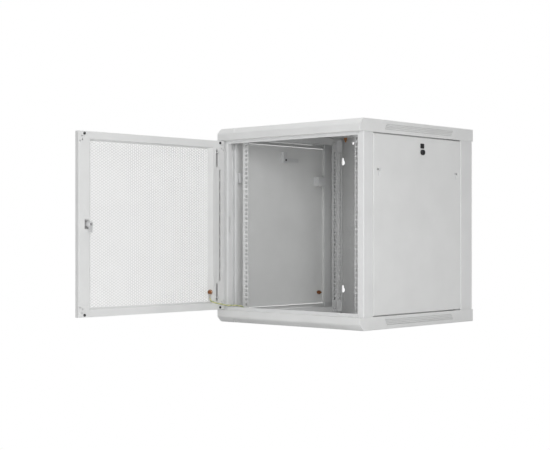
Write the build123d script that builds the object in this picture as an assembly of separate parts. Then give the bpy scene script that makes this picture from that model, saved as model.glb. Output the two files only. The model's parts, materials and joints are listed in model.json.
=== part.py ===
"""Twelve-unit 19-inch wall cabinet: folded steel frame, two covers, side panels, door, rack rails.

Frame: +X is right seen from the front, the front is at -Y, +Z is up.
The origin is the centre of the underside of the bottom cover. Millimetres.
The door is drawn closed and then turned about its pins to its rest pose, standing open.
"""
import math
import os

from build123d import *

# overall sizes
width = 600.0                # over the covers
depth = 600.0                # over the covers
units = 12                   # rack units between the covers
rack_unit = 44.45
end_room = 101.6             # height taken by both covers and rail ends
height = units * rack_unit + end_room

# sheet thicknesses and bends
cover_sheet = 1.5
post_sheet = 1.5
panel_sheet = 1.2
door_sheet = 1.2
rail_sheet = 2.0
bend = 3.0
seam_gap = 1.5               # beside a side panel
door_gap = 1.8               # over and under the door
fit = 0.3                    # round a turning or sliding piece

# covers
cover_height = 39.5
nose_depth = 18.0            # slope at the front edge, front to back
nose_height = 18.0
inset_depth = 2.5            # pressed band in the slope
inset_end = 60.0             # from the band's end to the side of the cover
inset_lean = 9.0             # slant of the band's ends
vent_length = 355.0
vent_pitch = 6.1
vent_rows = 4
vent_row_pitch = 5.0
vent_radius = 2.0
vent_first_row = 11.5        # from the open edge of the cover
entry_width = 300.0          # cable entry, also its plate
entry_depth = 80.0
entry_rear = 52.0            # from the rear of the cover to the entry
entry_lap = 12.0
fan_width = 290.0            # fan opening in the top cover
fan_depth = 150.0
fan_slot = 5.0
grommet_radius = 6.0
grommet_x = -208.0

# corner posts
frame_inset = 3.0            # frame and panels inside the outline of the covers
post_face = 25.0
post_return = 16.5
corner_width = 68.0          # from the outline of the covers to the side panel
seat_depth = 14.0            # joggle that a side panel sits against
seat_width = 10.0
strike_height = 55.0
strike_width = 8.0

# door
door_thickness = 18.0
door_setback = 1.0
post_gap = 2.5               # between the closed door and the posts
pivot_from_side = 11.0
door_edge = 6.0              # from the outline of the covers to the edge of the door
hinge_stile = 51.0           # at the inner face
lock_stile = 40.0
door_rail = 22.0
hinge_slope = 8.0            # how far the window narrows towards the outer face
lock_slope = 14.0
rail_slope = 5.0
door_open = 92.0             # rest pose
slot_pitch = 37.0
slot_length = 30.0
slot_width = 4.5
slot_in = 17.0               # slots, from the pin's axis
lever_in = 30.0              # lever slots, from the pin's axis
lever_slot = 57.0
lever_slot_end = 29.0        # from the end of the door to its lever slot
pin_radius = 3.0
pin_reach = 8.0              # of the pin into the cover
pin_drop = 40.0              # from the end of the door to the lever

# 19-inch rails
rail_centres = 465.1
rail_opening = 450.0
rail_flange = 25.0
rail_side = 28.0
rail_setback = 68.0          # from the front of the cabinet
rail_rear = 44.0             # from the rear of the cabinet
rail_clear = 11.0            # from the ends of the rails to the covers' outline
square = 9.5
carrier_width = 40.0
carrier_height = 27.0
cross_height = 50.0

# side panels
panel_flange = 13.0
lock_y = 16.0
lock_drop = 47.0             # from the top edge of the panel to the barrel
plug_height = 20.0           # from the barrel up to the middle of the bezel's upper part
bezel_width = 18.0
bezel_height = 15.0
bezel_proud = 2.0
barrel_radius = 6.0
collar_radius = 8.5
collar_proud = 7.0
t_from_edge = 26.0           # latch slots, from the panel's upright edges
t_drop = 105.0               # from the panel's top edge to the top of the slot
t_bar = 24.0
t_bar_height = 7.0
t_height = 23.0
t_stem = 8.0
latch_travel = 8.0

# rear panel keyholes for wall fixing
keyhole_spacing = 510.0
keyhole_top = 547.0
keyhole_bottom = 86.0
keyhole_head = 9.0
keyhole_slot = 4.5
keyhole_rise = 13.0

# places worked out from the sizes
half_width = width / 2
front = -depth / 2
rear = depth / 2
side = half_width - frame_inset
back = rear - frame_inset
floor_top = cover_sheet
roof_under = height - cover_sheet
door_front = front + door_setback
door_back = door_front + door_thickness
post_front = door_back + post_gap
post_inner = side - post_face
seat_x = side - seat_depth
panel_half = depth / 2 - corner_width - seam_gap
panel_bottom = cover_height + 2 * seam_gap
panel_top = height - panel_bottom
door_left = -half_width + door_edge
door_right = -door_left
door_bottom = cover_height + door_gap
door_top = height - door_bottom
pivot_x = -half_width + pivot_from_side
pivot_y = (door_front + door_back) / 2
rail_front_y = front + rail_setback
rail_rear_y = rear - rail_rear
rail_edge = rail_opening / 2
rail_outer = rail_edge + rail_flange
mid_z = height / 2


def block(x0, x1, y0, y1, z0, z1):
    """Box between two corners, given in any order."""
    size = (abs(x1 - x0), abs(y1 - y0), abs(z1 - z0))
    return Pos((x0 + x1) / 2, (y0 + y1) / 2, (z0 + z1) / 2) * Box(*size)


def rod(start, direction, length, radius):
    """Cylinder from a point along a direction."""
    return extrude(Plane(origin=start, z_dir=direction) * Circle(radius), amount=length)


def hexagon(start, direction, length, across_flats):
    """Hexagonal prism from a point along a direction."""
    outline = RegularPolygon(across_flats / math.sqrt(3), 6)
    return extrude(Plane(origin=start, z_dir=direction) * outline, amount=length)


def folded(points, sheet, z0, z1, side_of_line=Side.LEFT):
    """Upright folded sheet whose outer face follows the points."""
    line = FilletPolyline(*points, radius=bend)
    face = make_face(offset(line, amount=sheet, side=side_of_line))
    return Pos(0, 0, z0) * extrude(face, amount=z1 - z0)


def mirrored(shape, plane):
    """Copy on the other side of a plane."""
    return mirror(shape, about=plane)


def pan_screw(start, direction, head_radius, head_height, shank_radius, shank_length):
    """Screw whose head sits on the surface at start and whose shank goes along direction."""
    into = Vector(*direction)
    head = rod(start, -into, head_height, head_radius)
    head = fillet(head.faces().sort_by(Axis(start, -into))[-1].edges(), head_height * 0.45)
    recess = hexagon(Vector(*start) - into * head_height, into, head_height * 0.5, head_radius * 0.8)
    return head - recess + rod(start, into, shank_length, shank_radius)


def save(name, shape):
    """Write one node, checked to be made of whole solids."""
    solids = shape.solids()
    assert solids and all(s.is_valid and s.volume > 0 for s in solids), name
    export_step(solids[0] if len(solids) == 1 else Compound(children=list(solids)), f"parts/{name}.step")


# ---------------------------------------------------------------- covers

def cover_profile(inward, opening):
    """Side view of a cover, upper one, with its open edge at zero height, as a face in YZ."""
    shift = inward * math.tan(math.radians(22.5))
    top = cover_height - inward
    points = [
        (front + inward, inward if opening else 0),
        (front + inward, cover_height - nose_height - shift),
        (front + nose_depth + shift, top),
        (rear - inward, top),
        (rear - inward, -1 if opening else 0),
    ]
    if opening:
        lip = post_front
        points += [(lip, -1), (lip, inward)]
    face = make_face(Polyline(*points, close=True))
    rounded = face.vertices().sort_by(Axis.X)[:2].sort_by(Axis.Y)[-1:]
    rounded += face.vertices().filter_by(lambda v: abs(v.X - front - nose_depth - shift) < 0.01)
    return Plane.YZ * fillet(rounded, 8.0 - inward)


def cover_inset(deeper):
    """Cutter of the pressed band in the slope, made deeper for the inner face of the sheet."""
    slope = Plane(
        origin=(0, front + nose_depth / 2, cover_height - nose_height / 2),
        x_dir=(1, 0, 0),
        z_dir=(0, -nose_height, nose_depth),
    )
    half = half_width - inset_end + deeper
    low = -nose_height * 0.25 - deeper
    high = nose_height
    band = Polyline(
        (-half + inset_lean, low), (half - inset_lean, low), (half, high), (-half, high), close=True
    )
    flat = make_face(band)
    into = extrude(slope * flat, amount=-(inset_depth + deeper))
    return into + extrude(slope * flat, amount=nose_depth)


def vent_holes(x):
    """Cutters of the staggered holes in one skirt of a cover."""
    columns = int(vent_length / vent_pitch)
    first = -(columns - 1) * vent_pitch / 2
    cutters = []
    for row in range(vent_rows):
        z = vent_first_row + row * vent_row_pitch
        for column in range(columns):
            y = first + column * vent_pitch + (row - 1) * vent_pitch / 2
            start = (x - math.copysign(10, x), y, z)
            cutters.append(rod(start, (math.copysign(1, x), 0, 0), 20, vent_radius))
    return cutters


def cover():
    """A cover as the upper one, with its open edge at zero height."""
    outer = extrude(cover_profile(0, False), amount=half_width, both=True)
    front_view = Pos(0, 0, cover_height / 2) * Box(width, depth, cover_height)
    front_view = fillet(front_view.edges().filter_by(Axis.Z), 2.0)
    front_view = fillet(front_view.edges().filter_by(Axis.Y).group_by(Axis.Z)[-1], 2.5)
    outer = (outer & front_view) - cover_inset(0)
    inner = extrude(cover_profile(cover_sheet, True), amount=half_width - cover_sheet, both=True)
    shell = outer - (inner - cover_inset(cover_sheet))
    shell -= vent_holes(half_width) + vent_holes(-half_width)
    entry_y = rear - entry_rear - entry_depth / 2
    shell -= block(
        -entry_width / 2, entry_width / 2, entry_y - entry_depth / 2, entry_y + entry_depth / 2,
        cover_height - 5, cover_height + 5,
    )
    shell -= [rod((x, pivot_y, -5), (0, 0, 1), 10, pin_radius + fit) for x in (pivot_x, -pivot_x)]
    shell -= [
        rod((x, y, cover_height - 5), (0, 0, 1), 10, screw_clear)
        for x, y in cover_screw_places()
    ]
    shell -= [
        rod((x, y, cover_height - 5), (0, 0, 1), 10, small_screw_clear)
        for x, y in entry_screw_places()
    ]
    return shell


screw_radius = 3.0
screw_clear = screw_radius + fit
small_screw_radius = 2.0
small_screw_clear = small_screw_radius + fit


def cover_screw_places():
    """Screws through a cover into the U-shaped carriers."""
    x = carrier_x()
    return [(sx * x, sy * (depth / 2 - corner_width - 20)) for sx in (-1, 1) for sy in (-1, 1)]


def entry_screw_places():
    """Screws of the plate over a cable entry."""
    y = rear - entry_rear - entry_depth / 2
    dx = entry_width / 2 + entry_lap / 2
    return [(sx * dx, y + sy * entry_depth / 4) for sx in (-1, 1) for sy in (-1, 1)]


def carrier_x():
    """Middle of a carrier."""
    return rail_outer + carrier_width / 2


upper_cover = Pos(0, 0, height - cover_height) * cover()
lower_cover = mirrored(Pos(0, 0, -cover_height) * cover(), Plane.XY)

fan_y = -depth * 0.05
fan_hole = block(
    -fan_width / 2, fan_width / 2, fan_y - fan_depth / 2, fan_y + fan_depth / 2, height - 5, height + 5
)
fan_screws = [
    (sx * (fan_width / 2 + entry_lap / 2), fan_y + sy * fan_depth / 3) for sx in (-1, 1) for sy in (-1, 1)
]
upper_cover -= fan_hole
upper_cover -= [rod((x, y, height - 5), (0, 0, 1), 10, small_screw_clear) for x, y in fan_screws]
grommet_z = height - cover_height / 2
grommet = rod((grommet_x, rear - 30, grommet_z), (0, 1, 0), 40, grommet_radius)
upper_cover -= grommet


def lapped_plate(length, breadth, y, slots):
    """Plate under the top cover that closes an opening, with a rim of entry_lap all round."""
    half_l = length / 2 + entry_lap
    half_b = breadth / 2 + entry_lap
    plate = block(-half_l, half_l, y - half_b, y + half_b, roof_under - cover_sheet, roof_under)
    raised = block(
        -length / 2 + fit, length / 2 - fit, y - breadth / 2 + fit, y + breadth / 2 - fit,
        roof_under, height - 0.2,
    )
    plate += raised
    if slots:
        count = int((length - 20) / (2 * fan_slot))
        first = -(count - 1) * fan_slot
        plate -= [
            block(x - fan_slot / 2, x + fan_slot / 2, y - breadth / 2 + 12, y + breadth / 2 - 12,
                  roof_under - 5, height + 5)
            for x in (first + i * 2 * fan_slot for i in range(count))
        ]
    return plate


entry_y = rear - entry_rear - entry_depth / 2
entry_plate = lapped_plate(entry_width, entry_depth, entry_y, False)
entry_plate -= [rod((x, y, roof_under - 5), (0, 0, 1), 10, small_screw_radius) for x, y in entry_screw_places()]
fan_plate = lapped_plate(fan_width, fan_depth, fan_y, True)
fan_plate -= [rod((x, y, roof_under - 5), (0, 0, 1), 10, small_screw_radius) for x, y in fan_screws]
swap = Plane.XY.offset(mid_z)


# ---------------------------------------------------------------- frame

def post(front_y, outward_y, reach):
    """Right-hand post. Its face is at front_y, and its side leg ends at the panel seat."""
    seat_y = outward_y * (depth / 2 - corner_width)
    inward = -outward_y
    points = [
        (post_inner, front_y + inward * reach),
        (post_inner, front_y),
        (side, front_y),
        (side, seat_y),
        (seat_x, seat_y),
        (seat_x, seat_y + inward * seat_width),
    ]
    left = Side.LEFT if outward_y < 0 else Side.RIGHT
    return folded(points, post_sheet, floor_top, roof_under, left)


front_right = post(post_front, -1, post_return)
rear_face = back - panel_sheet
rear_right = post(rear_face, 1, post_return)
strike_y = post_front + post_return / 2
strike = block(
    post_inner - 3, post_inner + 3, strike_y - strike_width / 2, strike_y + strike_width / 2,
    mid_z - strike_height / 2, mid_z + strike_height / 2,
)
front_right -= strike
rear_screw_z = [panel_bottom + 25, mid_z, panel_top - 25]
rear_screw_x = (post_inner + side) / 2
rear_right -= [
    rod((rear_screw_x, rear_face - 5, z), (0, 1, 0), 10, small_screw_radius) for z in rear_screw_z
]


def carrier():
    """Right-hand lower carrier: a U lying on the cover between the front and rear posts."""
    outline = [
        (rail_outer, floor_top + carrier_height),
        (rail_outer, floor_top),
        (rail_outer + carrier_width, floor_top),
        (rail_outer + carrier_width, floor_top + carrier_height),
    ]
    line = FilletPolyline(*outline, radius=bend)
    face = make_face(offset(line, amount=rail_sheet, side=Side.LEFT))
    start = post_front + post_return + fit
    end = rear_face - post_return - fit
    channel = extrude(Plane.XZ * face, amount=-(end - start))
    channel = Pos(0, start, 0) * channel
    seat_end = depth / 2 - corner_width - seat_width - fit
    for sign in (-1, 1):
        channel -= block(seat_x - post_sheet - fit, side, sign * seat_end, sign * depth / 2, 0, 100)
    for x, y in cover_screw_places():
        channel -= rod((x, y, floor_top - 5), (0, 0, 1), 10, screw_radius)
    for y in rail_bolt_places():
        channel -= rod((rail_outer - 5, y, rail_bolt_z), (1, 0, 0), 10, screw_radius)
    return channel


rail_bolt_z = rail_clear + 9.0


def rail_bolt_places():
    """Bolt positions along Y that hold the rails to the carriers."""
    return [rail_front_y + rail_side / 2, rail_rear_y - rail_side / 2]


lower_right_carrier = carrier()


def crossmember(face_y, inward):
    """Lower web between two posts, with a foot on the cover."""
    toe = 14.0
    outline = [(face_y, cross_height), (face_y, floor_top), (face_y + inward * toe, floor_top)]
    line = FilletPolyline(*outline, radius=bend)
    turn = Side.LEFT if inward > 0 else Side.RIGHT
    face = make_face(offset(line, amount=post_sheet, side=turn))
    return extrude(Plane.YZ * face, amount=post_inner, both=True)


def notched(member):
    """Crossmember with its foot cut back round the carriers."""
    reach = carrier_width + 2 * fit
    for sign in (-1, 1):
        middle = sign * (rail_outer + carrier_width / 2)
        member -= block(
            middle - reach / 2, middle + reach / 2, post_front + post_sheet, rear_face - post_sheet,
            floor_top - 1, floor_top + carrier_height + fit,
        )
    return member


lower_front_cross = notched(crossmember(post_front, 1))
lower_rear_cross = notched(crossmember(rear_face, -1))
upper_rear_cross = mirrored(lower_rear_cross, swap) - grommet

rear_panel = block(-side, side, rear_face, back, panel_bottom, panel_top)
rear_panel -= [
    rod((sign * rear_screw_x, rear_face - 5, z), (0, 1, 0), 10, small_screw_clear)
    for sign in (-1, 1) for z in rear_screw_z
]


def keyhole(x, z):
    """Cutter of one keyhole: round entry below, narrow slot above."""
    entry = rod((x, rear_face - 5, z), (0, 1, 0), 20, keyhole_head)
    top = rod((x, rear_face - 5, z + keyhole_rise), (0, 1, 0), 20, keyhole_slot)
    neck = block(x - keyhole_slot, x + keyhole_slot, rear_face - 5, rear_face + 15, z, z + keyhole_rise)
    return entry + top + neck


for x in (-keyhole_spacing / 2, keyhole_spacing / 2):
    for z in (keyhole_bottom, keyhole_top):
        rear_panel -= keyhole(x, z)
rear_screws = [
    pan_screw((sign * rear_screw_x, back, z), (0, -1, 0), 4.0, 2.4, small_screw_radius, 8)
    for sign in (-1, 1) for z in rear_screw_z
]

# ---------------------------------------------------------------- rack rails

hole_steps = (6.35, 22.225, 38.1)
rack_bottom = mid_z - units * rack_unit / 2
hole_heights = [rack_bottom + unit * rack_unit + step for unit in range(units) for step in hole_steps]


def rack_rail(face_y, inward):
    """Right-hand rail: front flange at face_y and a side flange going inward, square holes in both."""
    bottom = rail_clear
    top = height - rail_clear
    hole_x = rail_centres / 2
    squares = [Pos(hole_x, z) * Rectangle(square, square) for z in hole_heights]
    flange = Pos((rail_edge + rail_outer) / 2, (bottom + top) / 2) * Rectangle(rail_flange, top - bottom)
    front_flange = extrude(Plane.XZ * (flange - squares), amount=-rail_sheet)
    front_flange = Pos(0, face_y if inward > 0 else face_y - rail_sheet, 0) * front_flange
    middle = face_y + inward * rail_side / 2
    squares = [Pos(middle, z) * Rectangle(square, square) for z in hole_heights]
    web = Pos(middle, (bottom + top) / 2) * Rectangle(rail_side, top - bottom)
    web -= squares
    web -= [Pos(middle, z) * Circle(screw_radius) for z in (rail_bolt_z, height - rail_bolt_z)]
    side_flange = Pos(rail_outer - rail_sheet, 0, 0) * extrude(Plane.YZ * web, amount=rail_sheet)
    rail = front_flange + side_flange
    corner = rail.edges().filter_by(Axis.Z).filter_by(
        lambda e: abs(e.center().X - rail_outer) < 0.01 and abs(e.center().Y - face_y) < 0.01
    )
    return fillet(corner, rail_sheet * 0.9)


front_right_rail = rack_rail(rail_front_y, 1)
rear_right_rail = rack_rail(rail_rear_y, -1)
rail_bolts = []
rail_nuts = []
for sign in (-1, 1):
    for y in rail_bolt_places():
        for z in (rail_bolt_z, height - rail_bolt_z):
            start = (sign * (rail_outer - rail_sheet), y, z)
            rail_bolts.append(pan_screw(start, (sign, 0, 0), 5.5, 3.2, screw_radius, 12))
            nut_start = (sign * (rail_outer + rail_sheet), y, z)
            nut = hexagon(nut_start, (sign, 0, 0), 5, 10)
            rail_nuts.append(nut - rod(nut_start, (sign, 0, 0), 6, screw_radius))

cover_bolts = []
for x, y in cover_screw_places():
    bolt = hexagon((x, y, floor_top + rail_sheet), (0, 0, 1), 4, 10)
    bolt += rod((x, y, 0.2), (0, 0, 1), floor_top + rail_sheet, screw_radius)
    cover_bolts += [bolt, mirrored(bolt, swap)]

plate_screws = []
for x, y in entry_screw_places() + fan_screws:
    start = (x, y, roof_under - cover_sheet)
    plate_screws.append(pan_screw(start, (0, 0, 1), 4.0, 2.4, small_screw_radius, 2 * cover_sheet - 0.2))
plate_screws += [mirrored(screw, swap) for screw in plate_screws[:len(entry_screw_places())]]


lug_from_stud = 5.2          # height of a lug over the face that its stud stands on
lug_sheet = 1.6


def earth_stud(start, direction, lug=0.0):
    """Copper stud, washer and nut standing on a face, with room for a lug under the nut."""
    along = Vector(*direction)
    base = Vector(*start)
    foot = hexagon(base, along, 4, 11)
    thread = rod(base, along, 16, 3.0)
    washer = rod(base + along * 4, along, 1.2, 8.0 if lug else 6.5) - rod(base, along, 20, 3.0)
    nut = hexagon(base + along * (lug_from_stud + lug), along, 5, 11) - rod(base, along, 20, 3.0)
    return [foot + thread, washer, nut]


roof_stud = earth_stud((-215, rear - 38, roof_under), (0, 0, -1))
base_stud_at = (-185.0, post_front + 35.5, floor_top)
base_stud = earth_stud(base_stud_at, (0, 0, 1), lug_sheet)

# ---------------------------------------------------------------- side panels

lock_z = panel_top - lock_drop
plug_z = lock_z + plug_height
cam_x = seat_x - 3.0
cam_sheet = 2.0
cam_reach = height - cover_height + 15 - lock_z
latch_z = panel_top - t_drop - t_bar_height - 6.0
latch_width = 12.0
latch_sheet = 2.5
latch_x = cam_x - 3.0
latch_tip = depth / 2 - corner_width - seat_width - 1.5
latch_length = 33.0
latch_box = 35.0
latch_box_height = 33.0
latch_box_wall = 1.5
tab_width = 6.0
t_y = panel_half - t_from_edge


def side_panel():
    """Right-hand side panel: a shallow pan with its rim turned inwards."""
    outer = block(side - panel_flange, side, -panel_half, panel_half, panel_bottom, panel_top)
    outer = fillet(outer.faces().sort_by(Axis.X)[-1].edges(), 2.0)
    inner = block(
        side - panel_flange - 5, side - panel_sheet, -panel_half + panel_sheet, panel_half - panel_sheet,
        panel_bottom + panel_sheet, panel_top - panel_sheet,
    )
    panel = outer - inner
    t_top = panel_top - t_drop
    for y in (-t_y, t_y):
        panel -= block(side - 5, side + 5, y - t_bar / 2, y + t_bar / 2, t_top - t_bar_height, t_top)
        panel -= block(side - 5, side + 5, y - t_stem / 2, y + t_stem / 2, t_top - t_height, t_top)
    panel -= block(
        side - 5, side + 5, lock_y - bezel_width / 2 + 1.5, lock_y + bezel_width / 2 - 1.5,
        plug_z - bezel_height / 2 + 1.5, plug_z + bezel_height / 2 - 1.5,
    )
    panel -= rod((side - 5, lock_y, lock_z), (1, 0, 0), 10, barrel_radius + 1.2)
    return panel


def lock_housing():
    """Body of a side lock: rectangular plate, round collar below it, a block behind the panel."""
    plate = block(
        side, side + bezel_proud, lock_y - bezel_width / 2, lock_y + bezel_width / 2,
        plug_z - bezel_height / 2, plug_z + bezel_height / 2,
    )
    plate = fillet(plate.edges().filter_by(Axis.X), 2.0)
    collar = rod((side, lock_y, lock_z), (1, 0, 0), collar_proud, collar_radius)
    collar = fillet(collar.faces().sort_by(Axis.X)[-1].edges(), 1.2)
    body = block(
        cam_x + cam_sheet + fit, side - panel_sheet, lock_y - bezel_width / 2, lock_y + bezel_width / 2,
        lock_z - collar_radius - 1, plug_z + bezel_height / 2,
    )
    neck = block(
        side - 2, side + 1, lock_y - bezel_width / 2 + 1.5, lock_y + bezel_width / 2 - 1.5,
        plug_z - bezel_height / 2 + 1.5, plug_z + bezel_height / 2 - 1.5,
    )
    neck += rod((side - 2, lock_y, lock_z), (1, 0, 0), 3, barrel_radius + 1.2)
    housing = plate + collar + body + neck
    return housing - rod((cam_x - 5, lock_y, lock_z), (1, 0, 0), 60, barrel_radius + fit)


def lock_barrel():
    """Turning barrel of a side lock, with its key slot."""
    inner_end = cam_x - 1.0
    length = side + collar_proud - 1.0 - inner_end
    barrel = rod((inner_end + 1.0 + cam_sheet, lock_y, lock_z), (1, 0, 0), length - 1 - cam_sheet, barrel_radius)
    square_end = block(
        inner_end, inner_end + 2.0 + cam_sheet, lock_y - 3.5, lock_y + 3.5, lock_z - 3.5, lock_z + 3.5
    )
    face_x = side + collar_proud - 1.0
    key_slot = block(face_x - 3, face_x + 1, lock_y - 3.6, lock_y + 3.6, lock_z - 0.6, lock_z + 0.6)
    return barrel + square_end - key_slot


def lock_cam():
    """Cam plate of a side lock, lying level so that it is clear of the roof."""
    plate = block(cam_x, cam_x + cam_sheet, lock_y, lock_y + cam_reach, lock_z - 7, lock_z + 7)
    plate += rod((cam_x, lock_y, lock_z), (1, 0, 0), cam_sheet, 9)
    return plate - block(cam_x - 1, cam_x + 5, lock_y - 3.5, lock_y + 3.5, lock_z - 3.5, lock_z + 3.5)


def latch(sign):
    """Sliding bolt drawn back, with the finger tab that fills part of the T-shaped slot."""
    tip = sign * latch_tip
    heel = tip - sign * latch_length
    z0 = latch_z - latch_width / 2
    bar = block(latch_x, latch_x + latch_sheet, heel, tip, z0, z0 + latch_width)
    tab_low, tab_high = tab_heights()
    y0 = tab_y(sign) - tab_width / 2
    y1 = tab_y(sign) + tab_width / 2
    arm = block(latch_x, side - panel_sheet - latch_box_wall - fit, y0, y1, z0 + latch_width - 1, tab_high)
    return bar + arm + block(latch_x, side - 0.4, y0, y1, tab_low, tab_high)


def tab_y(sign):
    """Middle of the finger tab with the bolt drawn back."""
    return sign * (t_y - latch_travel / 2)


def tab_heights():
    """Lower and upper edge of the part of the tab that stands in the slot."""
    low = panel_top - t_drop - t_bar_height + 0.8
    return low, panel_top - t_drop - 0.8


def latch_housing(sign):
    """Box on the inner face of the panel that holds one sliding bolt and closes the slot from behind."""
    end = sign * (latch_tip - 1.0)
    start = end - sign * latch_box
    wall = latch_box_wall
    z_mid = panel_top - t_drop - t_height / 2
    low = z_mid - latch_box_height / 2
    high = z_mid + latch_box_height / 2
    inner = side - panel_sheet
    box = block(latch_x - fit - wall, inner, start, end, low, high)
    box -= block(latch_x - fit, inner - wall, start + sign * wall, end - sign * wall, low + wall, high - wall)
    box -= block(
        latch_x - fit, latch_x + latch_sheet + fit, end - sign * 5, end + sign * 5,
        latch_z - latch_width / 2 - fit, latch_z + latch_width / 2 + fit,
    )
    tab_low, tab_high = tab_heights()
    reach = tab_width / 2 + fit
    return box - block(
        inner - wall - 1, inner + 1, tab_y(sign) - sign * reach, tab_y(sign) + sign * (reach + latch_travel),
        tab_low - fit, tab_high + fit,
    )


panel_stud_at = (side - panel_sheet, panel_half - 27.0, panel_bottom + 37.0)
side_nodes = {
    "side_panel": [side_panel()],
    "panel_lock_housing": [lock_housing()],
    "panel_lock_barrel": [lock_barrel()],
    "panel_lock_cam": [lock_cam()],
    "front_panel_latch": [latch(-1)],
    "rear_panel_latch": [latch(1)],
    "panel_latch_housings": [latch_housing(-1), latch_housing(1)],
    "panel_earth_stud": earth_stud(panel_stud_at, (-1, 0, 0)),
}

# ---------------------------------------------------------------- door, drawn closed


def door_window(grow):
    """Opening of the door frame: straight through the outer sheet, sloping to the inner face."""
    skin = door_front + door_sheet
    outer_size = (
        door_left + hinge_stile + hinge_slope - grow, door_right - lock_stile - lock_slope + grow,
        door_bottom + door_rail + rail_slope - grow, door_top - door_rail - rail_slope + grow,
    )
    inner_size = (
        door_left + hinge_stile - grow, door_right - lock_stile + grow,
        door_bottom + door_rail - grow, door_top - door_rail + grow,
    )

    def outline(size, y):
        x0, x1, z0, z1 = size
        return Plane.XZ.offset(-y) * Pos((x0 + x1) / 2, (z0 + z1) / 2) * Rectangle(x1 - x0, z1 - z0)

    sloped = loft([outline(outer_size, skin), outline(inner_size, door_back)])
    x0, x1, z0, z1 = outer_size
    straight = block(x0, x1, door_front - 1, skin, z0, z1)
    x0, x1, z0, z1 = inner_size
    return straight + sloped + block(x0, x1, door_back, door_back + 1, z0, z1)


def from_corner(x_in, z_in):
    """Four places on the door, each so far in from one of its corners."""
    xs = (door_left + x_in, door_right - x_in)
    zs = (door_bottom + z_in, door_top - z_in)
    return [(x, z) for x in xs for z in zs]


door_lock_x = door_right - lock_stile + 4.0
door_lock_z = mid_z
door_bore = 9.5
bezel_radius = 13.0
lock_bezel = 3.0
door_cam_y = post_front + post_return / 2 - 1.0
notch_half = 14.0


def door_frame():
    """Folded hollow door frame with its slots, pin holes and the notch round the lock."""
    shell = block(door_left, door_right, door_front, door_back, door_bottom, door_top)
    shell = fillet(shell.edges().filter_by(Axis.Z), 2.5)
    hollow = block(
        door_left + door_sheet, door_right - door_sheet, door_front + door_sheet, door_back - door_sheet,
        door_bottom + door_sheet, door_top - door_sheet,
    )
    frame = shell - door_window(0) - (hollow - door_window(door_sheet))
    lip = (door_back - 3, door_back + 3)
    slots = int((door_top - door_bottom - 2 * (lever_slot + lever_slot_end)) / slot_pitch)
    first = mid_z - (slots - 1) * slot_pitch / 2
    x = pivot_x + slot_in
    cutters = []
    for i in range(slots):
        z = first + i * slot_pitch
        cutters.append(block(x - slot_width / 2, x + slot_width / 2, *lip, z - slot_length / 2, z + slot_length / 2))
    x = pivot_x + lever_in
    half = pin_radius + fit
    for z0, z1 in (
        (door_bottom + lever_slot_end, door_bottom + lever_slot_end + lever_slot),
        (door_top - lever_slot_end - lever_slot, door_top - lever_slot_end),
    ):
        cutters.append(block(x - half, x + half, *lip, z0, z1))
    for x_in, z_in in ((12.0, 14.0), (14.0, 25.0), (5.5, 30.0)):
        cutters += [rod((x, lip[0], z), (0, 1, 0), 6, 2.0) for x, z in from_corner(x_in, z_in)]
    for z in (door_bottom - 1, door_top - door_sheet - 1):
        cutters.append(rod((pivot_x, pivot_y, z), (0, 0, 1), door_sheet + 2, pin_radius + fit))
    cutters.append(rod((door_lock_x, door_front - 1, door_lock_z), (0, 1, 0), 10, door_bore))
    cutters.append(block(
        door_right - lock_stile - lock_slope - door_sheet - 1, door_lock_x + notch_half,
        door_front + door_sheet, door_back + 1, door_lock_z - notch_half, door_lock_z + notch_half,
    ))
    return frame - cutters


def door_sheet_panel():
    """Plain plate that fills the window at the outer face; it is perforated all over."""
    x0 = door_left + hinge_stile + hinge_slope
    x1 = door_right - lock_stile - lock_slope
    z0 = door_bottom + door_rail + rail_slope
    z1 = door_top - door_rail - rail_slope
    return block(x0, x1, door_front + 0.1, door_front + 0.1 + 1.0, z0, z1)


def door_lock_housing():
    """Cylinder lock body with a round bezel on the outer face."""
    start = (door_lock_x, door_front - lock_bezel, door_lock_z)
    bezel = rod(start, (0, 1, 0), lock_bezel, bezel_radius)
    bezel = fillet(bezel.faces().sort_by(Axis.Y)[0].edges(), 1.2)
    length = door_cam_y - 1 - fit - door_front
    body = rod((door_lock_x, door_front, door_lock_z), (0, 1, 0), length, door_bore)
    return bezel + body - rod(start, (0, 1, 0), 60, barrel_radius + fit)


def door_lock_barrel():
    """Turning barrel of the door lock."""
    face_y = door_front - lock_bezel + 0.5
    end_y = door_cam_y - 1
    barrel = rod((door_lock_x, face_y, door_lock_z), (0, 1, 0), end_y - face_y, barrel_radius)
    square_end = block(
        door_lock_x - 3.5, door_lock_x + 3.5, end_y - 1, end_y + 3.5, door_lock_z - 3.5, door_lock_z + 3.5
    )
    key_slot = block(
        door_lock_x - 3.6, door_lock_x + 3.6, face_y - 1, face_y + 3, door_lock_z - 0.6, door_lock_z + 0.6
    )
    return barrel + square_end - key_slot


door_cam_reach = post_inner + 9.0 - door_lock_x


def door_lock_cam():
    """Cam plate of the door lock, hanging down, clear of the post."""
    x, y, z = door_lock_x, door_cam_y, door_lock_z
    plate = block(x - 6, x + 6, y - 1, y + 1, z - door_cam_reach, z)
    plate += rod((x, y - 1, z), (0, 1, 0), 2, 9)
    return plate - block(x - 3.5, x + 3.5, y - 2, y + 2, z - 3.5, z + 3.5)


def door_lock_nut():
    """Ring nut that clamps the lock to the outer sheet."""
    start = (door_lock_x, door_front + door_sheet, door_lock_z)
    return hexagon(start, (0, 1, 0), 4, 23) - rod(start, (0, 1, 0), 5, door_bore)


lever_z = door_top - pin_drop
collar_z = lever_z - 4.0
bracket_z = lever_z - 34.0
tail_radius = 2.0
spring_wire = 0.9


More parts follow.
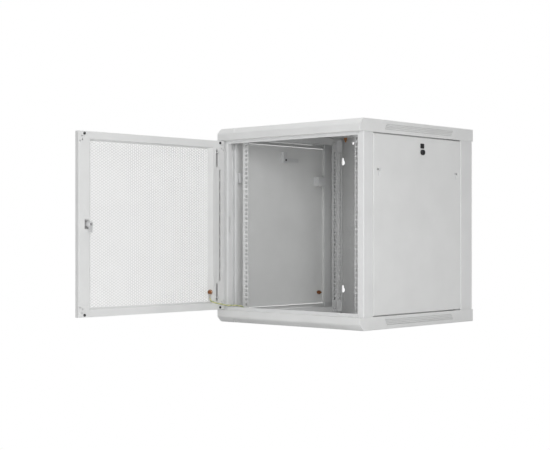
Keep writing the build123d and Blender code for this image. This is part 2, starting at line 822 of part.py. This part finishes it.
def hinge_pin():
    """Upper hinge pin with its lever, which comes out through the slot in the inner face."""
    top = door_top + door_gap + cover_sheet + pin_reach - 4
    pin = rod((pivot_x, pivot_y, collar_z), (0, 0, 1), top - collar_z, pin_radius)
    pin = chamfer(pin.faces().sort_by(Axis.Z)[-1].edges(), 1.0)
    tail = rod((pivot_x, pivot_y, bracket_z - 14), (0, 0, 1), collar_z - bracket_z + 14, tail_radius)
    arm = rod((pivot_x, pivot_y, lever_z), (1, 0, 0), lever_in, 2.5)
    elbow = Pos(pivot_x + lever_in, pivot_y, lever_z) * Sphere(2.5)
    out = rod((pivot_x + lever_in, pivot_y, lever_z), (0, 1, 0), door_back - pivot_y + 8, 2.5)
    return pin + tail + arm + elbow + out


def hinge_bracket():
    """Plate across the stile that guides the tail of a pin and carries its spring."""
    right = pivot_x + 14
    plate = block(
        door_left + door_sheet, right, door_front + door_sheet, door_back - door_sheet,
        bracket_z - 2, bracket_z,
    )
    return plate - rod((pivot_x, pivot_y, bracket_z - 5), (0, 0, 1), 10, tail_radius + fit)


def hinge_spring():
    """Closed wrap of the coil between the bracket and the pin's shoulder."""
    length = collar_z - bracket_z
    inner = tail_radius + fit
    wrap = rod((pivot_x, pivot_y, bracket_z), (0, 0, 1), length, inner + spring_wire)
    return wrap - rod((pivot_x, pivot_y, bracket_z - 1), (0, 0, 1), length + 2, inner)


bumpers = [
    rod((x, door_back, z), (0, 1, 0), post_gap - 0.5, 4.0) for x, z in from_corner(21.0, 7.0)
]
slope_depth = door_thickness - door_sheet
slope_length = math.hypot(slope_depth, hinge_slope)
door_stud_normal = (slope_depth / slope_length, hinge_slope / slope_length, 0)
door_stud_at = (
    door_left + hinge_stile + hinge_slope / 2, (door_front + door_sheet + door_back) / 2, door_bottom + 58.0
)

door_nodes = {
    "door_frame": [door_frame()],
    "door_perforated_sheet": [door_sheet_panel()],
    "door_lock_housing": [door_lock_housing()],
    "door_lock_nut": [door_lock_nut()],
    "door_lock_barrel": [door_lock_barrel()],
    "door_lock_cam": [door_lock_cam()],
    "upper_hinge_pin": [hinge_pin()],
    "lower_hinge_pin": [mirrored(hinge_pin(), swap)],
    "upper_hinge_spring": [hinge_spring()],
    "lower_hinge_spring": [mirrored(hinge_spring(), swap)],
    "hinge_pin_brackets": [hinge_bracket(), mirrored(hinge_bracket(), swap)],
    "door_corner_bumpers": bumpers,
    "door_earth_stud": earth_stud(door_stud_at, door_stud_normal, lug_sheet),
}
swing = Pos(pivot_x, pivot_y, 0) * Rot(0, 0, -door_open) * Pos(-pivot_x, -pivot_y, 0)

# ---------------------------------------------------------------- earth lead, door to cabinet

lead_radius = 2.2
lug_radius = 6.5


def lug(start, normal, towards):
    """Ring lug on a stud, with its crimp barrel pointing along towards."""
    along = Vector(*normal)
    base = Vector(*start) + along * lug_from_stud
    tail = Vector(*towards)
    ring = rod(base, along, lug_sheet, lug_radius)
    tongue = Plane(origin=base + tail * 6, x_dir=tail, z_dir=along) * Rectangle(12, 6)
    ring += extrude(tongue, amount=lug_sheet)
    barrel = rod(base + tail * 11 + along * (lug_sheet / 2), tail, 9, lead_radius + 0.9)
    barrel -= rod(base + tail * 13 + along * (lug_sheet / 2), tail, 9, lead_radius)
    ring += barrel
    return ring - rod(Vector(*start), along, 20, 3.0)


def lug_mouth(start, normal, towards):
    """Middle of the bottom of the crimp barrel, where the lead begins."""
    return Vector(*start) + Vector(*normal) * (lug_from_stud + lug_sheet / 2) + Vector(*towards) * 13


door_lug = swing * lug(door_stud_at, door_stud_normal, (0, 0, -1))
lead_start = (swing * Pos(*lug_mouth(door_stud_at, door_stud_normal, (0, 0, -1)))).position
base_lug = lug(base_stud_at, (0, 0, 1), (-1, 0, 0))
lead_end = lug_mouth(base_stud_at, (0, 0, 1), (-1, 0, 0))
lead_route = [
    (lead_start.X, lead_start.Y, lead_start.Z),
    (lead_start.X, lead_start.Y, lead_start.Z - 14.5),
    (-278.2, -339.5, 66.8),
    (-275.0, -322.0, 62.0),
    (-271.0, -309.0, 60.0),
    (-266.0, -295.0, 55.3),
    (-260.0, -279.0, 54.8),
    (-242.0, -258.0, 54.5),
    (-227.0, lead_end.Y, 47.0),
    (-225.0, lead_end.Y, lead_end.Z),
    (lead_end.X, lead_end.Y, lead_end.Z),
]


def tube(route, radius):
    """Round tube along straight runs joined by arcs as large as the runs allow."""
    points = [Vector(*p) for p in route]
    radii = []
    for a, b, c in zip(points, points[1:], points[2:]):
        turn = math.radians((b - a).get_angle(c - b))
        radii.append(0.45 * min((b - a).length, (c - b).length) / math.tan(turn / 2))
    line = FilletPolyline(*points, radius=radii)
    start = Plane(origin=points[0], z_dir=points[1] - points[0])
    solid = sweep(start * Circle(radius), path=line)
    print("lead length", round(line.length, 1), "volume ratio",
          round(solid.volume / (math.pi * radius ** 2 * line.length), 4),
          "radii", [round(r, 1) for r in radii])
    return solid


# ---------------------------------------------------------------- write the nodes

os.makedirs("parts", exist_ok=True)
save("top_cover", upper_cover)
save("bottom_cover", lower_cover)
save("top_fan_plate", fan_plate)
save("top_cable_entry_plate", entry_plate)
save("bottom_cable_entry_plate", mirrored(entry_plate, swap))
save("plate_screws", Compound(children=plate_screws))
save("cover_bolts", Compound(children=cover_bolts))
for name, shape in (("right", lambda s: s), ("left", lambda s: mirrored(s, Plane.YZ))):
    save(f"front_{name}_post", shape(front_right))
    save(f"rear_{name}_post", shape(rear_right))
    save(f"lower_{name}_carrier", shape(lower_right_carrier))
    save(f"upper_{name}_carrier", shape(mirrored(lower_right_carrier, swap)))
    save(f"front_{name}_rack_rail", shape(front_right_rail))
    save(f"rear_{name}_rack_rail", shape(rear_right_rail))
    for part, pieces in side_nodes.items():
        save(f"{name}_{part}", Compound(children=[shape(piece) for piece in pieces]))
save("lower_front_crossmember", lower_front_cross)
save("upper_front_crossmember", mirrored(lower_front_cross, swap))
save("lower_rear_crossmember", lower_rear_cross)
save("upper_rear_crossmember", upper_rear_cross)
save("rack_rail_bolts", Compound(children=rail_bolts))
save("rack_rail_nuts", Compound(children=rail_nuts))
save("rear_panel", rear_panel)
save("rear_panel_screws", Compound(children=rear_screws))
save("cabinet_earth_studs", Compound(children=roof_stud + base_stud))
for name, pieces in door_nodes.items():
    save(name, Compound(children=[swing * piece for piece in pieces]))
save("door_earth_lug", door_lug)
save("base_earth_lug", base_lug)
save("earth_lead", tube(lead_route, lead_radius))
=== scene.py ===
# Twelve-unit wall cabinet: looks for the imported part. Metres, +X right seen from the front, front at -Y, +Z up.
import json
import math

import bmesh
import bpy
from mathutils import Matrix, Vector


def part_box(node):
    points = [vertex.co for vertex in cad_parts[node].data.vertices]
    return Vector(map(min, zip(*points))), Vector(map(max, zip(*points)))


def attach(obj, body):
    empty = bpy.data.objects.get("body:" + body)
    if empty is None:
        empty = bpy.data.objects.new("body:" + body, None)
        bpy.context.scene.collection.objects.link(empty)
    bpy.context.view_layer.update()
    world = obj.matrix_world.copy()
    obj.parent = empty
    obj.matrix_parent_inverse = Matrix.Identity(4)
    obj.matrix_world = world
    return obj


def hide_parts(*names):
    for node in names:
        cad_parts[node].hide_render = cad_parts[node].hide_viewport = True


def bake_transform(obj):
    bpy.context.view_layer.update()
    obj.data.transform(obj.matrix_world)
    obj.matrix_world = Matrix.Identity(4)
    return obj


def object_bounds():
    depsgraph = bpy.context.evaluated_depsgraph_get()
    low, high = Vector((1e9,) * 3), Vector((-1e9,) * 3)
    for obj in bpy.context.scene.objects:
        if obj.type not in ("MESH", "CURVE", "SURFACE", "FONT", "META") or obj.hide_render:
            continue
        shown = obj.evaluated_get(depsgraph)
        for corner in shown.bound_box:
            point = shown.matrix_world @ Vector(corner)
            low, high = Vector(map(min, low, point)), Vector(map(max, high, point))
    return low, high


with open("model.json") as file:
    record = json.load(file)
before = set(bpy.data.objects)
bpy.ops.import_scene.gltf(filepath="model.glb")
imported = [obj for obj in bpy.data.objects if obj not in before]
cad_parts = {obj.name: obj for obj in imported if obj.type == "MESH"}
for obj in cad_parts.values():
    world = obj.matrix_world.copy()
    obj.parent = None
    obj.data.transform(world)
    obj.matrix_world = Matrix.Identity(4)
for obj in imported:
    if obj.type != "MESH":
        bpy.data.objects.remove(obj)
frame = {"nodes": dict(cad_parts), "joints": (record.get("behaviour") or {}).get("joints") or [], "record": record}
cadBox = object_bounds()
nodes = frame["nodes"]
print("frame loaded:", len(nodes), "nodes")

# camera
view = {"spot": (2.5493, -3.1173, 0.288), "turn": 42.604, "lens": 79.59, "shiftY": 0.01675}


def addCamera():
    data = bpy.data.cameras.new("camera")
    data.lens = view["lens"]
    data.sensor_width = 36
    data.shift_y = view["shiftY"]
    data.clip_end = 60
    camera = bpy.data.objects.new("camera", data)
    camera.location = view["spot"]
    camera.rotation_euler = (math.radians(90), 0, math.radians(view["turn"]))
    bpy.context.collection.objects.link(camera)
    bpy.context.scene.camera = camera


addCamera()
print("camera set")

# studio: pale floor, a pale surround and soft lamps
studio = {
    "floorSize": 16.0, "floorColour": (0.92, 0.92, 0.92, 1), "surroundColour": (1, 1, 1, 1),
    "surroundLight": 0.25, "seenLight": 1.0, "look": "Standard",
}
lamps = {
    "key": {"at": (2.6, -2.6, 1.0), "to": (0, 0, 0.3), "size": 1.4, "power": 51},
    "front": {"at": (-0.6, -3.4, 1.6), "to": (0, 0, 0.3), "size": 1.6, "power": 6},
    "top": {"at": (0, 0.2, 3.4), "to": (0, 0, 0), "size": 2.4, "power": 52},
}


def addFloor():
    bm = bmesh.new()
    bmesh.ops.create_grid(bm, x_segments=1, y_segments=1, size=studio["floorSize"] / 2)
    mesh = bpy.data.meshes.new("floor")
    bm.to_mesh(mesh)
    bm.free()
    floor = bpy.data.objects.new("floor", mesh)
    floor.location = (0, 0, cadBox[0].z)
    bpy.context.collection.objects.link(floor)
    material = bpy.data.materials.new("studioFloor")
    material.use_nodes = True
    shader = material.node_tree.nodes["Principled BSDF"]
    shader.inputs["Base Color"].default_value = studio["floorColour"]
    shader.inputs["Roughness"].default_value = 0.85
    tree = material.node_tree
    plain = tree.nodes.new("ShaderNodeEmission")
    plain.inputs["Color"].default_value = studio["surroundColour"]
    plain.inputs["Strength"].default_value = studio["seenLight"]
    both = tree.nodes.new("ShaderNodeMixShader")  # seen straight on it is as white as the surround
    rays = tree.nodes.new("ShaderNodeLightPath")
    tree.links.new(rays.outputs["Is Camera Ray"], both.inputs[0])
    tree.links.new(shader.outputs[0], both.inputs[1])
    tree.links.new(plain.outputs[0], both.inputs[2])
    tree.links.new(both.outputs[0], tree.nodes["Material Output"].inputs["Surface"])
    mesh.materials.append(material)


def addLamps():
    for name, lamp in lamps.items():
        data = bpy.data.lights.new(name, "AREA")
        data.size = lamp["size"]
        data.energy = lamp["power"]
        light = bpy.data.objects.new(name, data)
        light.location = lamp["at"]
        aim = Vector(lamp["to"]) - Vector(lamp["at"])
        light.rotation_euler = aim.to_track_quat("-Z", "Y").to_euler()
        bpy.context.collection.objects.link(light)
    world = bpy.data.worlds.new("surround")
    world.use_nodes = True
    background = world.node_tree.nodes["Background"]
    background.inputs["Color"].default_value = studio["surroundColour"]
    rays = world.node_tree.nodes.new("ShaderNodeLightPath")
    level = world.node_tree.nodes.new("ShaderNodeMath")  # it is seen whiter than it lights
    level.operation = "MULTIPLY_ADD"
    level.inputs[1].default_value = studio["seenLight"] - studio["surroundLight"]
    level.inputs[2].default_value = studio["surroundLight"]
    world.node_tree.links.new(rays.outputs["Is Camera Ray"], level.inputs[0])
    world.node_tree.links.new(level.outputs[0], background.inputs["Strength"])
    bpy.context.scene.world = world
    bpy.context.scene.view_settings.view_transform = studio["look"]


addFloor()
addLamps()
print("studio ready")

# finishes: each is a colour, the speckle in it, the gloss and the grain of the surface
finishes = {
    "light_grey_paint": {
        "colour": (0.84, 0.845, 0.84), "varied": 0.02, "rough": 0.48, "roughVaried": 0.10, "grain": 1500, "bump": 0.10,
        "coat": 0.12,
    },
    "grey_frame_paint": {
        "colour": (0.84, 0.845, 0.845), "varied": 0.025, "rough": 0.42, "roughVaried": 0.12, "grain": 1300, "bump": 0.08,
        "coat": 0.10,
    },
    "rail_paint": {
        "colour": (0.84, 0.845, 0.845), "varied": 0.03, "rough": 0.40, "roughVaried": 0.12, "grain": 1300, "bump": 0.08,
        "coat": 0.15,
    },
    "zinc_steel": {
        "colour": (0.80, 0.805, 0.81), "varied": 0.06, "rough": 0.42, "roughVaried": 0.15, "grain": 700, "bump": 0.12,
        "metal": 0.45,
    },
    "chrome_lock": {
        "colour": (0.88, 0.88, 0.89), "varied": 0.04, "rough": 0.22, "roughVaried": 0.10, "grain": 900, "bump": 0.03,
        "metal": 1.0,
    },
    "black_plastic": {
        "colour": (0.018, 0.018, 0.020), "varied": 0.25, "rough": 0.42, "roughVaried": 0.12, "grain": 2200, "bump": 0.16,
    },
    "grey_plastic": {
        "colour": (0.78, 0.785, 0.79), "varied": 0.03, "rough": 0.40, "roughVaried": 0.10, "grain": 1900, "bump": 0.08,
    },
    "black_rubber": {
        "colour": (0.05, 0.05, 0.052), "varied": 0.20, "rough": 0.72, "roughVaried": 0.10, "grain": 1800, "bump": 0.20,
    },
    "copper": {
        "colour": (0.40, 0.19, 0.09), "varied": 0.25, "rough": 0.34, "roughVaried": 0.20, "grain": 800, "bump": 0.10,
        "metal": 1.0,
    },
    "tinned_copper": {
        "colour": (0.70, 0.68, 0.64), "varied": 0.08, "rough": 0.30, "roughVaried": 0.15, "grain": 900, "bump": 0.08,
        "metal": 1.0,
    },
    "green_yellow_insulation": {
        "colour": (0.66, 0.70, 0.06), "varied": 0.05, "rough": 0.38, "roughVaried": 0.08, "grain": 1600, "bump": 0.05,
    },
}


# what every finish shares: the size of its broad and fine speckle, the depth of its grain and its clear coat
surface = {
    "broader": 120, "broadDetail": 3.0, "fineDetail": 2.0, "toneFrom": 0.3, "toneTo": 0.7, "grainDepth": 0.0004,
    "coatRough": 0.35,
}


def mathNode(tree, operation, first, second):
    node = tree.nodes.new("ShaderNodeMath")
    node.operation = operation
    for socket, value in zip(node.inputs, (first, second)):
        if isinstance(value, (int, float)):
            socket.default_value = value
        else:
            tree.links.new(value, socket)
    return node.outputs[0]


def noiseNode(tree, place, scale, detail):
    node = tree.nodes.new("ShaderNodeTexNoise")
    node.inputs["Scale"].default_value = scale
    node.inputs["Detail"].default_value = detail
    tree.links.new(place, node.inputs["Vector"])
    return node.outputs[0]


def toneRamp(tree, factor, colour, varied):
    ramp = tree.nodes.new("ShaderNodeValToRGB")
    ramp.color_ramp.elements[0].position = surface["toneFrom"]
    ramp.color_ramp.elements[1].position = surface["toneTo"]
    for element, sign in zip(ramp.color_ramp.elements, (-1, 1)):
        element.color = tuple(min(1.0, c * (1 + sign * varied)) for c in colour) + (1,)
    tree.links.new(factor, ramp.inputs[0])
    return ramp.outputs[0]


def makeFinish(name, recipe):
    material = bpy.data.materials.new(name)
    material.use_nodes = True
    tree = material.node_tree
    shader = tree.nodes["Principled BSDF"]
    place = tree.nodes.new("ShaderNodeTexCoord").outputs["Object"]
    fine = noiseNode(tree, place, recipe["grain"], surface["fineDetail"])
    broad = noiseNode(tree, place, recipe["grain"] / surface["broader"], surface["broadDetail"])
    tone = toneRamp(tree, broad, recipe["colour"], recipe["varied"])
    tree.links.new(tone, shader.inputs["Base Color"])
    spread = mathNode(tree, "MULTIPLY", broad, recipe["roughVaried"])
    level = mathNode(tree, "ADD", spread, recipe["rough"] - recipe["roughVaried"] / 2)
    tree.links.new(level, shader.inputs["Roughness"])
    bump = tree.nodes.new("ShaderNodeBump")
    bump.inputs["Strength"].default_value = recipe["bump"]
    bump.inputs["Distance"].default_value = surface["grainDepth"]
    tree.links.new(fine, bump.inputs["Height"])
    tree.links.new(bump.outputs[0], shader.inputs["Normal"])
    shader.inputs["Metallic"].default_value = recipe.get("metal", 0.0)
    shader.inputs["Coat Weight"].default_value = recipe.get("coat", 0.0)
    shader.inputs["Coat Roughness"].default_value = surface["coatRough"]
    return material


materials = {name: makeFinish(name, recipe) for name, recipe in finishes.items()}


def dressNodes():
    slots = {part["node"]: part["material_slot"] for part in frame["record"]["subparts"]}
    for name, node in nodes.items():
        node.data.materials.clear()
        node.data.materials.append(materials[slots[name]])


dressNodes()
print("finishes given to", len(nodes), "nodes")

# the door is packed open, so pieces on it are laid out closed and then turned with it
hinge = next(joint for joint in frame["joints"] if joint["name"] == "door_hinge")
pivot = Vector(hinge["pos_m"])
closedTurn = Matrix.Rotation(math.radians(hinge["range_deg"][1]), 4, "Z")
toClosed = Matrix.Translation(pivot) @ closedTurn @ Matrix.Translation(-pivot)
toRest = toClosed.inverted()


def closedBox(name):
    points = [toClosed @ vertex.co for vertex in nodes[name].data.vertices]
    lowest = Vector(min(point[i] for point in points) for i in range(3))
    highest = Vector(max(point[i] for point in points) for i in range(3))
    return lowest, highest


def newPiece(name, bm, finish, body):
    mesh = bpy.data.meshes.new(name)
    bm.to_mesh(mesh)
    bm.free()
    piece = bpy.data.objects.new(name, mesh)
    bpy.context.collection.objects.link(piece)
    mesh.materials.append(materials[finish])
    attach(piece, body)
    return piece


# perforated sheet: round holes in upright columns, every other column half a step down, cut off at the window
sheet = {"pitch": 0.0087, "hole": 0.0032, "sides": 10, "join": 0.00005}


def perforatedSheet():
    lowest, highest = closedBox("door_perforated_sheet")
    size = highest - lowest
    columnStep = sheet["pitch"] * math.sqrt(3) / 2
    pairs = int(size.x / columnStep / 2) + 2
    rows = int(size.z / sheet["pitch"]) + 3
    bm = bmesh.new()
    bmesh.ops.create_circle(bm, segments=sheet["sides"], radius=sheet["hole"])
    cell = bmesh.ops.create_circle(bm, segments=6, radius=sheet["pitch"] / math.sqrt(3))
    bmesh.ops.rotate(bm, verts=cell["verts"], matrix=Matrix.Rotation(math.radians(30), 3, "Z"))
    bmesh.ops.bridge_loops(bm, edges=bm.edges[:])
    step = Vector((0, sheet["pitch"], 0))
    bmesh.ops.spin(bm, geom=bm.faces[:], dvec=step, axis=(0, 0, 1), angle=0, steps=rows - 1, use_duplicate=True)
    twin = bmesh.ops.duplicate(bm, geom=bm.verts[:] + bm.edges[:] + bm.faces[:])["geom"]
    shifted = Vector((columnStep, sheet["pitch"] / 2, 0))
    bmesh.ops.translate(bm, verts=[v for v in twin if isinstance(v, bmesh.types.BMVert)], vec=shifted)
    across = Vector((2 * columnStep, 0, 0))
    bmesh.ops.spin(bm, geom=bm.faces[:], dvec=across, axis=(0, 0, 1), angle=0, steps=pairs - 1, use_duplicate=True)
    bmesh.ops.remove_doubles(bm, verts=bm.verts, dist=sheet["join"])
    middle = Vector(((2 * pairs - 1) * columnStep / 2, (rows - 0.5) * sheet["pitch"] / 2, 0))
    bmesh.ops.translate(bm, verts=bm.verts, vec=-middle)
    for along, half in ((Vector((1, 0, 0)), size.x / 2), (Vector((0, 1, 0)), size.z / 2)):
        for way in (along, -along):
            everything = bm.verts[:] + bm.edges[:] + bm.faces[:]
            bmesh.ops.bisect_plane(bm, geom=everything, plane_co=way * half, plane_no=way, clear_outer=True)
    bmesh.ops.recalc_face_normals(bm, faces=bm.faces)
    bmesh.ops.solidify(bm, geom=bm.faces[:], thickness=size.y)
    bmesh.ops.rotate(bm, verts=bm.verts, matrix=Matrix.Rotation(math.radians(90), 3, "X"))
    ys = [vertex.co.y for vertex in bm.verts]
    centre = (lowest + highest) / 2 - Vector((0, (min(ys) + max(ys)) / 2, 0))
    bmesh.ops.translate(bm, verts=bm.verts, vec=centre)
    bmesh.ops.transform(bm, matrix=toRest, verts=bm.verts)
    bmesh.ops.recalc_face_normals(bm, faces=bm.faces)
    print("perforated sheet:", rows * pairs * 2, "holes,", sum(len(f.verts) - 2 for f in bm.faces), "triangles")
    piece = newPiece("doorPerforatedSheet", bm, "light_grey_paint", "door")
    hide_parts("door_perforated_sheet")


perforatedSheet()

# earth lead: hangs from the door's stud, over the sill and down to the stud on the floor
lead = {
    "route": (
        (-0.28777, -0.34549, 0.0863), (-0.28777, -0.34549, 0.0718), (-0.2782, -0.3395, 0.0668),
        (-0.2750, -0.3220, 0.0620), (-0.2710, -0.3090, 0.0600), (-0.2660, -0.2950, 0.0553),
        (-0.2600, -0.2790, 0.0548), (-0.2420, -0.2580, 0.0545), (-0.2270, -0.2430, 0.0470),
        (-0.2250, -0.2430, 0.0075), (-0.1980, -0.2430, 0.0075),
    ),
    "radius": 0.0022, "sides": 12, "steps": 10, "bendFrom": 1, "bendTo": 6,
    "green": (0.26, 0.40, 0.20), "yellow": (0.80, 0.76, 0.40), "stripes": 2.0, "twist": 55.0,
    "greenTo": 0.33, "yellowFrom": 0.36,
}


def leadPoints():
    curve = bpy.data.curves.new("leadLine", "CURVE")
    curve.dimensions = "3D"
    spline = curve.splines.new("NURBS")
    spline.points.add(len(lead["route"]) - 1)
    for point, spot in zip(spline.points, lead["route"]):
        point.co = (*spot, 1)
    spline.order_u = 3
    spline.use_endpoint_u = True
    spline.resolution_u = lead["steps"]
    line = bpy.data.objects.new("leadLine", curve)
    bpy.context.collection.objects.link(line)
    bpy.context.view_layer.update()
    path = bpy.data.meshes.new_from_object(line.evaluated_get(bpy.context.evaluated_depsgraph_get()))
    points = [vertex.co.copy() for vertex in path.vertices]
    bpy.data.objects.remove(line)
    return points


def leadTube(points):
    # a ring of points is carried along the line, and each point keeps its turn round it and its length along it
    bm = bmesh.new()
    turn = bm.verts.layers.float.new("turn")
    run = bm.verts.layers.float.new("run")
    verts = bmesh.ops.create_circle(bm, segments=lead["sides"], radius=lead["radius"])["verts"]
    for index, vert in enumerate(verts):
        vert[turn] = index / lead["sides"]
    along = (points[1] - points[0]).normalized()
    upright = Vector((0, 0, 1)).rotation_difference(along)
    bmesh.ops.rotate(bm, verts=verts, matrix=upright.to_matrix())
    bmesh.ops.translate(bm, verts=verts, vec=points[0])
    edges = bm.edges[:]
    length = 0.0
    beyond = points[-1] * 2 - points[-2]
    for before, here, after in zip(points, points[1:], points[2:] + [beyond]):
        made = bmesh.ops.extrude_edge_only(bm, edges=edges)["geom"]
        verts = [item for item in made if isinstance(item, bmesh.types.BMVert)]
        edges = [item for item in made if isinstance(item, bmesh.types.BMEdge) and
                 all(vert in verts for vert in item.verts)]
        bmesh.ops.translate(bm, verts=verts, vec=here - before)
        towards = ((after - here).normalized() + (here - before).normalized()).normalized()
        bend = along.rotation_difference(towards)
        bmesh.ops.rotate(bm, verts=verts, cent=here, matrix=bend.to_matrix())
        length += (here - before).length
        for vert in verts:
            vert[run] = length
        along = towards
    layTurns(bm, turn, run)
    rims = [edge for edge in bm.edges if edge.is_boundary]
    bmesh.ops.holes_fill(bm, edges=rims, sides=lead["sides"])
    bmesh.ops.recalc_face_normals(bm, faces=bm.faces)
    print("earth lead:", round(length, 4), "m long")
    return bm


def layTurns(bm, turn, run):
    around = bm.loops.layers.uv.new("around")
    for face in bm.faces:
        face.smooth = True
        furthest = max(vert[turn] for vert in face.verts)
        for loop in face.loops:
            part = loop.vert[turn]
            if furthest - part > 0.5:  # the last face closes the ring
                part += 1
            loop[around].uv = (lead["stripes"] * part, loop.vert[run])


def leadFinish():
    # two colours wound round the lead, by the tube's own turn and length
    material = makeFinish("leadStripes", finishes["green_yellow_insulation"])
    tree = material.node_tree
    place = tree.nodes.new("ShaderNodeUVMap")
    place.uv_map = "around"
    split = tree.nodes.new("ShaderNodeSeparateXYZ")
    tree.links.new(place.outputs[0], split.inputs[0])
    wound = mathNode(tree, "ADD", split.outputs[0], mathNode(tree, "MULTIPLY", split.outputs[1], lead["twist"]))
    ramp = tree.nodes.new("ShaderNodeValToRGB")
    for element, position, colour in zip(ramp.color_ramp.elements, ("greenTo", "yellowFrom"), ("green", "yellow")):
        element.position = lead[position]
        element.color = lead[colour] + (1,)
    tree.links.new(mathNode(tree, "FRACT", wound, 0.0), ramp.inputs[0])
    tree.links.new(ramp.outputs[0], tree.nodes["Principled BSDF"].inputs["Base Color"])
    return material


def earthLead():
    mesh = bpy.data.meshes.new("earthLead")
    bm = leadTube(leadPoints())
    bm.to_mesh(mesh)
    bm.free()
    mesh.materials.append(leadFinish())
    piece = bpy.data.objects.new("earthLead", mesh)
    bpy.context.collection.objects.link(piece)
    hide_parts("earth_lead")
    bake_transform(piece)


earthLead()

# lock housings: black outside the sheet that they go through, grey inside it
locks = {
    "outside": "black_plastic", "inside": "grey_plastic", "flangeUnder": 0.0013,
    "panelHousings": ("left_panel_lock_housing", "right_panel_lock_housing"),
    "doorHousings": ("door_lock_housing",),
}


def lockFinish(name, skin, housings):
    material = makeFinish(name, finishes[locks["outside"]])
    tree = material.node_tree
    colour = tree.nodes["Principled BSDF"].inputs["Base Color"]
    place = tree.nodes.new("ShaderNodeTexCoord").outputs["Object"]
    split = tree.nodes.new("ShaderNodeSeparateXYZ")
    tree.links.new(place, split.inputs[0])
    sideways = mathNode(tree, "ABSOLUTE", split.outputs[0], 0.0)
    outer = mathNode(tree, "GREATER_THAN", sideways, skin - locks["flangeUnder"])
    blend = tree.nodes.new("ShaderNodeMix")
    blend.data_type = "RGBA"
    tree.links.new(outer, blend.inputs[0])
    blend.inputs[6].default_value = finishes[locks["inside"]]["colour"] + (1,)
    tree.links.new(colour.links[0].from_socket, blend.inputs[7])
    tree.links.new(blend.outputs[2], colour)
    for housing in housings:
        nodes[housing].data.materials.clear()
        nodes[housing].data.materials.append(material)


lockFinish("panelLock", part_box("right_side_panel")[1].x, locks["panelHousings"])
lockFinish("doorLock", -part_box("door_frame")[0].x, locks["doorHousings"])
print("locks painted")
